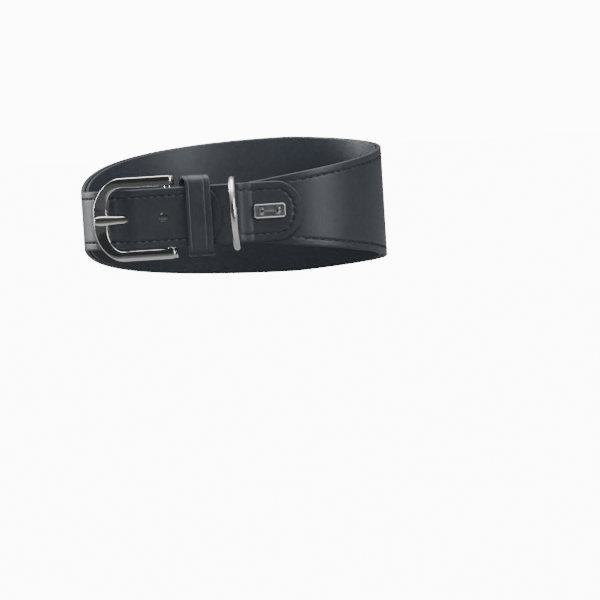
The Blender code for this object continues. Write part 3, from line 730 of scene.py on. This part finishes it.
class Finish(Graph):
    def __init__(self, name):
        self.material = bpy.data.materials.new(name)
        self.material.use_nodes = True
        super().__init__(self.material.node_tree)
        self.shader = self.tree.nodes["Principled BSDF"]

    def coordinates(self):
        return self.node("ShaderNodeTexCoord", {}, {}, "Object")

    def noise(self, scale, detail, roughness=0.55, stretch=None):
        where = self.coordinates()
        if stretch:
            where = self.node("ShaderNodeMapping", {}, {"Vector": where, "Scale": stretch})
        inputs = {"Vector": where, "Scale": scale, "Detail": detail, "Roughness": roughness}
        return self.node("ShaderNodeTexNoise", {}, inputs)

    def cells(self, scale):
        return self.node("ShaderNodeTexVoronoi", {}, {"Vector": self.coordinates(), "Scale": scale})

    def mixColour(self, part, first, second):
        return self.node("ShaderNodeMix", {"data_type": "RGBA"}, {0: part, 6: first, 7: second}, 2)

    def bump(self, height, strength, distance):
        return self.node("ShaderNodeBump", {}, {"Height": height, "Strength": strength, "Distance": distance})

    def set(self, **values):
        for key, value in values.items():
            self.feed(self.shader.inputs[key.replace("_", " ")], value)


def makeLeather(name, dark, light, roughness):
    finish = Finish(name)
    cloud, fine = finish.noise(70.0, 4.0), finish.noise(900.0, 3.0, 0.6)
    pores, creases = finish.cells(1500.0), finish.noise(260.0, 5.0, 0.65)
    finish.set(
        Base_Color=finish.mixColour(cloud, dark, light), Specular_IOR_Level=0.5,
        Roughness=finish.spread(cloud * 0.6 + fine * 0.4, 0.3, 0.7, roughness - 0.05, roughness + 0.08),
        Normal=finish.bump(pores * 0.5 + fine * 0.6 + creases * 0.7, 0.25, 0.25 * mm),
    )
    return finish.material


def makeThread(name, colour):
    finish = Finish(name)
    twist = finish.node(
        "ShaderNodeTexWave", {"wave_type": "BANDS", "bands_direction": "DIAGONAL"},
        {"Vector": finish.coordinates(), "Scale": 900.0, "Distortion": 1.0, "Detail": 1.0})
    # the twist's low grooves are coloured darker than its crests: painted shade in the grooves
    dark = tuple(part * 0.55 for part in colour)
    bump = finish.bump(twist, 0.5, 0.1 * mm)
    finish.set(Base_Color=finish.mixColour(twist, dark, colour), Roughness=0.6, Normal=bump)
    return finish.material


def makeNickel(name, roughness, colour):
    finish = Finish(name)
    haze, wear = finish.noise(55.0, 4.0), finish.noise(700.0, 2.0, 0.6, (1.0, 1.0, 6.0))
    finish.set(
        Base_Color=colour, Metallic=1.0,
        Roughness=finish.spread(haze * 0.7 + wear * 0.3, 0.3, 0.7, roughness, roughness + 0.07),
        Normal=finish.bump(wear, 0.02, 0.1 * mm),
    )
    return finish.material


metal = {"bright": (0.80, 0.79, 0.77), "soft": (0.86, 0.84, 0.80), "field": (0.42, 0.43, 0.44)}


def makePlateFinish(name):
    # a bright rim and bone, and a darker sunk field
    finish = Finish(name)
    sunkY = ring["frontY"] - plate["highD"] + plate["sunk"] * 0.6
    field = finish.spread(finish.part(finish.coordinates(), 1), sunkY, sunkY + 0.08 * mm, 0.0, 1.0)
    finish.set(
        Base_Color=finish.mixColour(field, metal["bright"], metal["field"]), Metallic=1.0,
        Roughness=finish.spread(finish.noise(400.0, 4.0), 0.3, 0.7, 0.26, 0.4),
    )
    return finish.material


blackLeather = makeLeather("blackLeather", (0.0165, 0.0195, 0.0245), (0.0230, 0.0270, 0.0330), 0.42)
keeperLeather = makeLeather("keeperLeather", (0.0200, 0.0230, 0.0285), (0.0270, 0.0310, 0.0380), 0.42)
# the lining is coloured lighter than the outer leather: painted light that lifts the shaded inner wall
liningLeatherPaintedLight = makeLeather("liningLeatherPaintedLight", (0.0200, 0.0235, 0.0300), (0.0270, 0.0315, 0.0395), 0.5)
blackThread = makeThread("blackThread", (0.006, 0.0065, 0.0075))
nickel = makeNickel("polishedNickel", 0.05, metal["bright"])
softNickel = makeNickel("softNickel", 0.13, metal["soft"])
plateFinish = makePlateFinish("plateFinish")
print("materials made")


def punch(piece, radius, depth, where, tilt):
    deselectAll()
    bpy.ops.mesh.primitive_cylinder_add(vertices=40, radius=radius, depth=depth, location=where, rotation=tilt)
    cutAway(piece, bpy.context.object)


band = makeBand()
# the prong's hole is where the climbing tongue meets the prong, and it is cut along the prong
crossX = leather["riseFrom"]
while tongueD(crossX) < prongD(crossX) + prong["play"] / 2:
    crossX += 0.05 * mm
slope = math.atan2(prongD(crossX + mm) - prongD(crossX - mm), 2 * mm)
throughHole = raised(crossX, prongD(crossX) + prong["play"] / 2, 0.0)
punch(band, prong["hole"], 14 * mm, throughHole, (0, math.pi / 2, -slope))
for number in (1, 2):
    freeHole = raised(crossX + prong["holePitch"] * number, leather["tongueHigh"], 0.0)
    punch(band, prong["freeHole"], 6 * mm, freeHole, (math.pi / 2, 0, 0))
print("band made")

lining = makeLining()
fold = makeFold()
bpy.ops.mesh.primitive_cube_add(size=1, location=raised(buckle["barX"] - prong["slotShift"], prong["slotD"], 0.0))
slotCutter = bpy.context.object
slotCutter.scale = prong["slotSize"]
finishPlace(slotCutter)
cutAway(fold, slotCutter)
keeperPiece = makeKeeper()
print("straps made")

upperStitches = bandStitches("upperStitches", 1)
lowerStitches = bandStitches("lowerStitches", -1)
patchRow = patchStitches("patchStitches")
print("stitches made")

frameBow = makeFrame()
prongPiece = makeProng()
leashRing = makeLeashRing()
namePlate = makePlate()
print("metal made")

for piece, material, body, node, slotName in (
    (band, blackLeather, "leather", "band_leather", "black_leather"),
    (lining, liningLeatherPaintedLight, "leather", "band_lining", "lining_leather"),
    (fold, blackLeather, "leather", "buckle_strap", "buckle_strap_leather"),
    (keeperPiece, keeperLeather, "keeper", "keeper_loop", "keeper_leather"),
    (upperStitches, blackThread, "leather", "band_thread_upper", "upper_thread"),
    (lowerStitches, blackThread, "leather", "band_thread_lower", "lower_thread"),
    (patchRow, blackThread, "leather", "patch_thread", "patch_thread"),
    (frameBow, nickel, "frame", "buckle_frame", "frame_nickel"),
    (prongPiece, softNickel, "prong", "buckle_prong", "prong_nickel"),
    (leashRing, softNickel, "leash_ring_body", "d_ring", "ring_nickel"),
    (namePlate, plateFinish, "leather", "name_plate", "plate_nickel"),
):
    piece.data.materials.clear()
    piece.data.materials.append(material)
    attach(piece, body)
    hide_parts(node)
print("pieces ride on their bodies")

# the floor's near part and the room behind the camera are dark, so the nickel has something to mirror
studio = {
    "white": 12.0, "seenPart": 0.94, "floorNear": (0.012, 0.012, 0.013), "floorFar": (0.26, 0.265, 0.27),
    "nearFrom": -0.2, "nearTo": -0.08, "front": 0.035, "grey": 0.2, "above": 0.9,
}
plainWhite = (1.0, 1.0, 1.0)

deselectAll()
bpy.ops.mesh.primitive_plane_add(size=24, location=(0, 4, -0.5 * mm))
floor = bpy.context.object
floor.name = "floor"
finishPlace(floor)
ground = Finish("paleFloor")
near = ground.spread(ground.part(ground.coordinates(), 1), studio["nearFrom"], studio["nearTo"], 0.0, 1.0)
ground.set(Base_Color=ground.mixColour(near, studio["floorNear"], studio["floorFar"]), Roughness=0.9)
glow = ground.node("ShaderNodeEmission", {}, {"Color": plainWhite, "Strength": studio["white"]})
surface = Value(ground, ground.shader.outputs[0])
shown = ground.node("ShaderNodeMixShader", {}, {0: ground.cameraSees() * studio["seenPart"], 1: surface, 2: glow})
ground.feed(ground.tree.nodes["Material Output"].inputs["Surface"], shown)
floor.data.materials.append(ground.material)

for name, where, aim, size, power, colour, mirrored in (
    ("topPanel", (0.0, 0.0, 1.3), (0, 0, 0.03), (1.6, 1.4), 26, plainWhite, True),
    ("leftPanel", (-1.15, 0.65, 0.35), (-0.06, 0, 0.03), (0.5, 1.0), 19, plainWhite, True),
    ("rightPanel", (1.05, -0.95, 0.32), (0.03, 0, 0.03), (0.8, 1.0), 14, plainWhite, True),
    ("fillPanel", (-0.2, -1.6, 0.3), (0, 0, 0.03), (1.4, 1.0), 19, (0.9, 0.95, 1.0), False),
):
    light = bpy.data.lights.new(name, "AREA")
    light.shape, light.energy, light.color = "RECTANGLE", power, colour
    light.size, light.size_y = size
    panel = bpy.data.objects.new(name, light)
    scene.collection.objects.link(panel)
    panel.location = where
    panel.rotation_mode = "QUATERNION"
    panel.rotation_quaternion = (Vector(aim) - Vector(where)).to_track_quat("-Z", "Y")
    panel.visible_glossy = mirrored

# the room is dark behind the camera and pale above, and plain white where the camera looks at it
scene.world = bpy.data.worlds.new("studio")
scene.world.use_nodes = True
room = Graph(scene.world.node_tree)
way = room.node("ShaderNodeTexCoord", {}, {}, "Generated")
backPart = room.spread(room.part(way, 1), -0.9, 0.1, studio["front"], studio["grey"])
upPart = room.spread(room.part(way, 2), 0.35, 0.9, 0.0, studio["above"])
lit = room.node("ShaderNodeBackground", {}, {"Color": (0.93, 0.96, 1.0), "Strength": backPart + upPart})
seen = room.node("ShaderNodeBackground", {}, {"Color": plainWhite, "Strength": studio["white"]})
whole = room.node("ShaderNodeMixShader", {}, {0: room.cameraSees(), 1: lit, 2: seen})
room.feed(room.tree.nodes["World Output"].inputs["Surface"], whole)
print("floor and light set")

bpy.context.view_layer.update()
